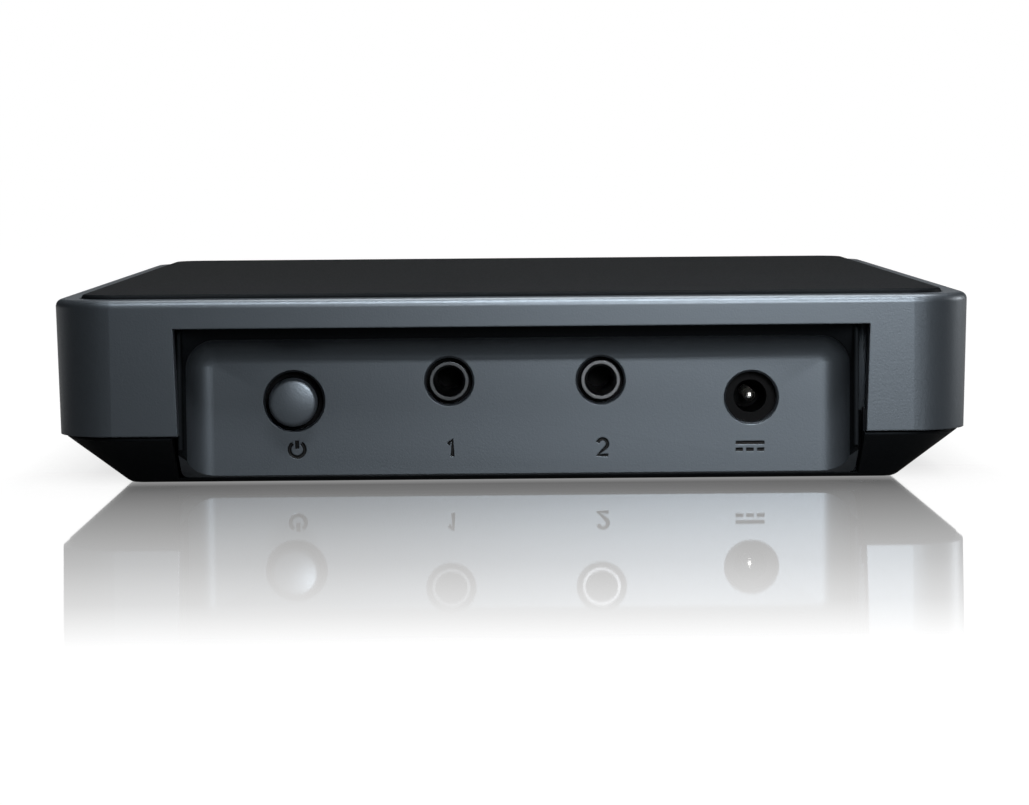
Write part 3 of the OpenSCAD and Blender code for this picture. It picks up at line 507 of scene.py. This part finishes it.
def thin_lip(mesh):
    """Flares the pocket's front edge out to a thin lip, and gives it the second material, a darker
    plastic that is painted shade.
    """
    low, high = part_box("rear_panel")
    middle = (low[0] + high[0]) / 2
    wide = (high[0] - low[0]) / 2 - (POCKET_WALL + POCKET_R) * MM
    tall = (POCKET_TOP - POCKET_R) * MM
    reach = (POCKET_R + POCKET_WALL - LIP) * MM
    rise = high[2] - LIP * MM - tall
    for vertex in mesh.vertices:
        x, z = vertex.co.x - middle, vertex.co.z
        aside = max(abs(x) - wide, 0.0)
        above = max(z - tall, 0.0)
        away = math.hypot(aside, above)
        if vertex.co.y > low[1] + LIP_FRONT * MM or abs(away - POCKET_R * MM) > LIP_NEAR * MM:
            continue
        if aside:
            vertex.co.x = middle + math.copysign(
                wide + reach * min(LIP_FLARE * aside / away, 1.0), x)
        if above:
            vertex.co.z = tall + rise * min(LIP_FLARE * above / away, 1.0)
    # The lip's faces take the darker plastic: painted shade where the pocket's edge lies in shadow
    for face in mesh.polygons:
        shallow = max(mesh.vertices[i].co.y for i in face.vertices)
        if shallow < low[1] + LIP_SHADE_DEPTH * MM:
            face.material_index = 1


def marked_panel(node, material, lip_shade_material, groove_shade_material):
    """Copy of the jack panel with a thin lip in painted shade, chamfered holes, and engraved marks
    with grooves in painted shade.
    """
    mesh = node.data.copy()
    if mesh.has_custom_normals:
        mesh.attributes.remove(mesh.attributes["custom_normal"])
    form = bmesh.new()
    form.from_mesh(mesh)
    bmesh.ops.remove_doubles(form, verts=form.verts, dist=WELD)
    form.to_mesh(mesh)
    form.free()
    mesh.materials.clear()
    mesh.materials.append(material)
    mesh.materials.append(lip_shade_material)
    thin_lip(mesh)
    panel = bpy.data.objects.new("jack_panel", mesh)
    bpy.context.scene.collection.objects.link(panel)
    face = panel_face(node)
    for hole, radius in HOLES.items():
        mouth = (radius + HOLE_CHAMFER) * MM
        out = face - CUTTER_REACH * MM
        profile = [(0.0, out), (mouth, out), (mouth, face),
                   (radius * MM, face + HOLE_CHAMFER * MM), (0.0, face + HOLE_CHAMFER * MM)]
        cut(panel, turned("chamfer_" + hole, profile, centre_of(hole), material))
    for mark, strokes in mark_strokes().items():
        for i, points in enumerate(strokes):
            cutter = groove_cutter(f"groove_{mark}_{i}", points, (MARK_X[mark], MARK_Z), face)
            # The groove's faces take the near-black plastic: painted shade in the engraving
            cutter.data.materials.append(groove_shade_material)
            cut(panel, cutter)
    sharpen(panel.data)
    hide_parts("rear_panel")
    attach(panel, "player_body")


def panel_face(node):
    """Y of the pocket's flat back, found by a ray from the jack end at the marks' height."""
    probe = Vector((0.0, -1.0, MARK_Z * MM))
    hit, place, _, _ = node.ray_cast(probe, Vector((0.0, 1.0, 0.0)))
    return place.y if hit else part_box("rear_panel")[0].y


def cut(piece, cutter):
    """Takes the cutter away from the piece and removes the cutter."""
    modifier = piece.modifiers.new("cut", "BOOLEAN")
    modifier.operation = "DIFFERENCE"
    modifier.solver = "EXACT"
    modifier.material_mode = "TRANSFER"
    modifier.object = cutter
    bpy.context.view_layer.update()
    made = bpy.data.meshes.new_from_object(
        piece.evaluated_get(bpy.context.evaluated_depsgraph_get()))
    piece.modifiers.clear()
    piece.data = made
    bpy.data.objects.remove(cutter)


# ---------------------------------------------------------------- camera, light and floor
def make_camera():
    data = bpy.data.cameras.new("camera")
    data.lens = LENS
    data.sensor_width = SENSOR
    data.clip_start, data.clip_end = 0.01, 50.0
    camera = bpy.data.objects.new("camera", data)
    bpy.context.scene.collection.objects.link(camera)
    turn = (Matrix.Rotation(math.radians(-YAW), 4, "Z")
            @ Matrix.Rotation(math.radians(90 - PITCH), 4, "X")
            @ Matrix.Rotation(math.radians(-ROLL), 4, "Z"))
    camera.matrix_world = Matrix.Translation(Vector(CAMERA_AT) * MM) @ turn
    bpy.context.scene.camera = camera


def soft_box(name, at, aim, size, power, spread):
    """Rectangular area lamp at one point, aimed at another, that the camera doesn't see."""
    data = bpy.data.lights.new(name, "AREA")
    data.shape = "RECTANGLE"
    data.size, data.size_y = size
    data.energy = power
    data.spread = math.radians(spread)
    lamp = bpy.data.objects.new(name, data)
    bpy.context.scene.collection.objects.link(lamp)
    lamp.location = at
    lamp.rotation_mode = "QUATERNION"
    lamp.rotation_quaternion = (Vector(aim) - Vector(at)).to_track_quat("-Z", "Y")
    lamp.visible_camera = False


def make_lights():
    for name, settings in LAMPS.items():
        soft_box(name, *settings)


def make_world():
    """White to the camera; a dim room with a white card behind the table to everything else."""
    world = bpy.data.worlds.new("studio")
    world.use_nodes = True
    tree = world.node_tree
    tree.nodes.clear()
    links = tree.links

    def node(kind, **settings):
        made = tree.nodes.new(kind)
        for key, value in settings.items():
            setattr(made, key, value)
        return made

    def math_node(operation, a, b):
        made = node("ShaderNodeMath", operation=operation)
        for slot, value in zip(made.inputs, (a, b)):
            if isinstance(value, bpy.types.NodeSocket):
                links.new(value, slot)
            else:
                slot.default_value = value
        return made.outputs[0]

    def step(value, edge):
        made = node("ShaderNodeMapRange", interpolation_type="SMOOTHSTEP")
        links.new(value, made.inputs["Value"])
        made.inputs["From Min"].default_value = edge[0]
        made.inputs["From Max"].default_value = edge[1]
        return made.outputs[0]

    split = node("ShaderNodeSeparateXYZ")
    links.new(node("ShaderNodeTexCoord").outputs["Generated"], split.inputs[0])
    x, y, z = split.outputs
    side = math_node("ABSOLUTE", x, 0.0)
    card = math_node("MULTIPLY", step(side, CARD_SIDE), step(z, CARD_TOP))
    card = math_node("MULTIPLY", card, step(z, CARD_LOW))
    card = math_node("MULTIPLY", card, step(y, CARD_BACK))
    level = math_node("MAXIMUM", card, ROOM_LEVEL)

    path = node("ShaderNodeLightPath")
    seen = node("ShaderNodeBackground")
    rest = node("ShaderNodeBackground")
    for background in (seen, rest):
        background.inputs["Color"].default_value = (1.0, 1.0, 1.0, 1.0)
    links.new(level, rest.inputs["Strength"])
    mix = node("ShaderNodeMixShader")
    links.new(path.outputs["Is Camera Ray"], mix.inputs[0])
    links.new(rest.outputs[0], mix.inputs[1])
    links.new(seen.outputs[0], mix.inputs[2])
    links.new(mix.outputs[0], node("ShaderNodeOutputWorld").inputs[0])
    bpy.context.scene.world = world


def mirror_share(g):
    """Strength of the floor's mirror: before the object only, fading with distance, at a low view."""
    split = g.add("ShaderNodeSeparateXYZ", {0: g.place})
    away = g.math("SUBTRACT", MIRROR_START, split.outputs[1])
    before = g.between(split.outputs[1], 1.0, 0.0, *MIRROR_BACK)
    aside = g.math("ABSOLUTE", split.outputs[0])
    before = g.math("MULTIPLY", before, g.between(aside, 1.0, 0.0, *MIRROR_SIDE))
    fade = g.ramp(g.between(away, 0.0, 1.0, 0.0, MIRROR_REACH),
                  *[(place, (share,) * 3) for place, share in MIRROR_FADE])
    facing = g.add("ShaderNodeLayerWeight", {"Blend": 0.5}).outputs["Facing"]
    grazing = g.between(facing, 0.0, 1.0, *MIRROR_GRAZING)
    return g.math("MULTIPLY", g.math("MULTIPLY", fade, grazing), before, clamp=True)


def seen_directly(g):
    """1 for camera and transmission rays, and a share of it for reflections in the object."""
    split = g.add("ShaderNodeSeparateXYZ", {0: g.place})
    share = g.between(split.outputs[1], GLOSSY_SHARE, BEHIND_SHARE, *SHARE_BAND)
    path = g.add("ShaderNodeLightPath").outputs
    glossy = g.math("MULTIPLY", path["Is Glossy Ray"], share)
    direct = g.math("ADD", path["Is Camera Ray"], glossy)
    return g.math("ADD", direct, path["Is Transmission Ray"], clamp=True)


def floor_material():
    """White table with a fading mirror to the camera, dark cloth to light, clear from below."""
    g = Graph("floor_white")
    contact = g.add("ShaderNodeAmbientOcclusion", {"Distance": CONTACT_REACH}, samples=8)
    glow_level = g.between(contact.outputs["AO"], *FLOOR_GLOW, *OPEN_SKY)
    glow = g.add("ShaderNodeEmission", {"Strength": glow_level})
    faint = g.add("ShaderNodeBsdfDiffuse", {"Color": (0.03, 0.03, 0.03, 1.0)})
    white = g.add("ShaderNodeAddShader", {0: glow.outputs[0], 1: faint.outputs[0]})
    gloss = g.add("ShaderNodeBsdfGlossy", {"Color": (1, 1, 1, 1), "Roughness": MIRROR_ROUGH})
    seen = g.add("ShaderNodeMixShader", {
        0: mirror_share(g), 1: white.outputs[0], 2: gloss.outputs[0]})
    speck = g.ramp(g.noise(scale=300, detail=3.0), (0.3, (0.066,) * 3), (0.7, (0.074,) * 3))
    cloth = g.add("ShaderNodeBsdfDiffuse", {"Color": speck})
    above = g.add("ShaderNodeMixShader", {
        0: seen_directly(g), 1: cloth.outputs[0], 2: seen.outputs[0]})
    back = g.add("ShaderNodeNewGeometry").outputs["Backfacing"]
    clear = g.add("ShaderNodeBsdfTransparent")
    both = g.add("ShaderNodeMixShader", {0: back, 1: above.outputs[0], 2: clear.outputs[0]})
    g.tree.links.new(both.outputs[0], g.output.inputs["Surface"])
    return g.material


def make_floor():
    mesh = bpy.data.meshes.new("floor")
    corners = [(-1, -1), (1, -1), (1, 1), (-1, 1)]
    mesh.from_pydata([(x * FLOOR_REACH, y * FLOOR_REACH, 0) for x, y in corners], [],
                     [(0, 1, 2, 3)])
    floor = bpy.data.objects.new("floor", mesh)
    bpy.context.scene.collection.objects.link(floor)
    floor.data.materials.append(floor_material())


# ---------------------------------------------------------------- the scene
def write_sizes():
    """Brings the view layer up to date."""
    bpy.context.view_layer.update()


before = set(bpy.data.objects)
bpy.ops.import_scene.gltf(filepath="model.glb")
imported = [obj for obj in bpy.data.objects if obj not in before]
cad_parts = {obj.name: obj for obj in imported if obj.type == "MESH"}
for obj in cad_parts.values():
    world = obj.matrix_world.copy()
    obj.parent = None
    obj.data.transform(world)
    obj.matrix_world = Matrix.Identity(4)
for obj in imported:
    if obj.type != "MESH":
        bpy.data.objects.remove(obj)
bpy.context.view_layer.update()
bpy.context.scene.view_settings.view_transform = "Standard"
materials = {**plastics(), **metals()}
dress(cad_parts, materials)
# The lip takes the darker case plastic and the grooves the near-black mark plastic, both as painted
# shade
marked_panel(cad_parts["rear_panel"], materials["panel"], materials["case"],
             materials["mark"])
domed_button(materials["button"], materials["jack"])
collared_sleeve("component_collar", "component_sleeve", materials["dark_contact"])
collared_sleeve("av_collar", "av_sleeve", materials["grey_contact"])
make_floor()
make_world()
make_lights()
make_camera()
write_sizes()
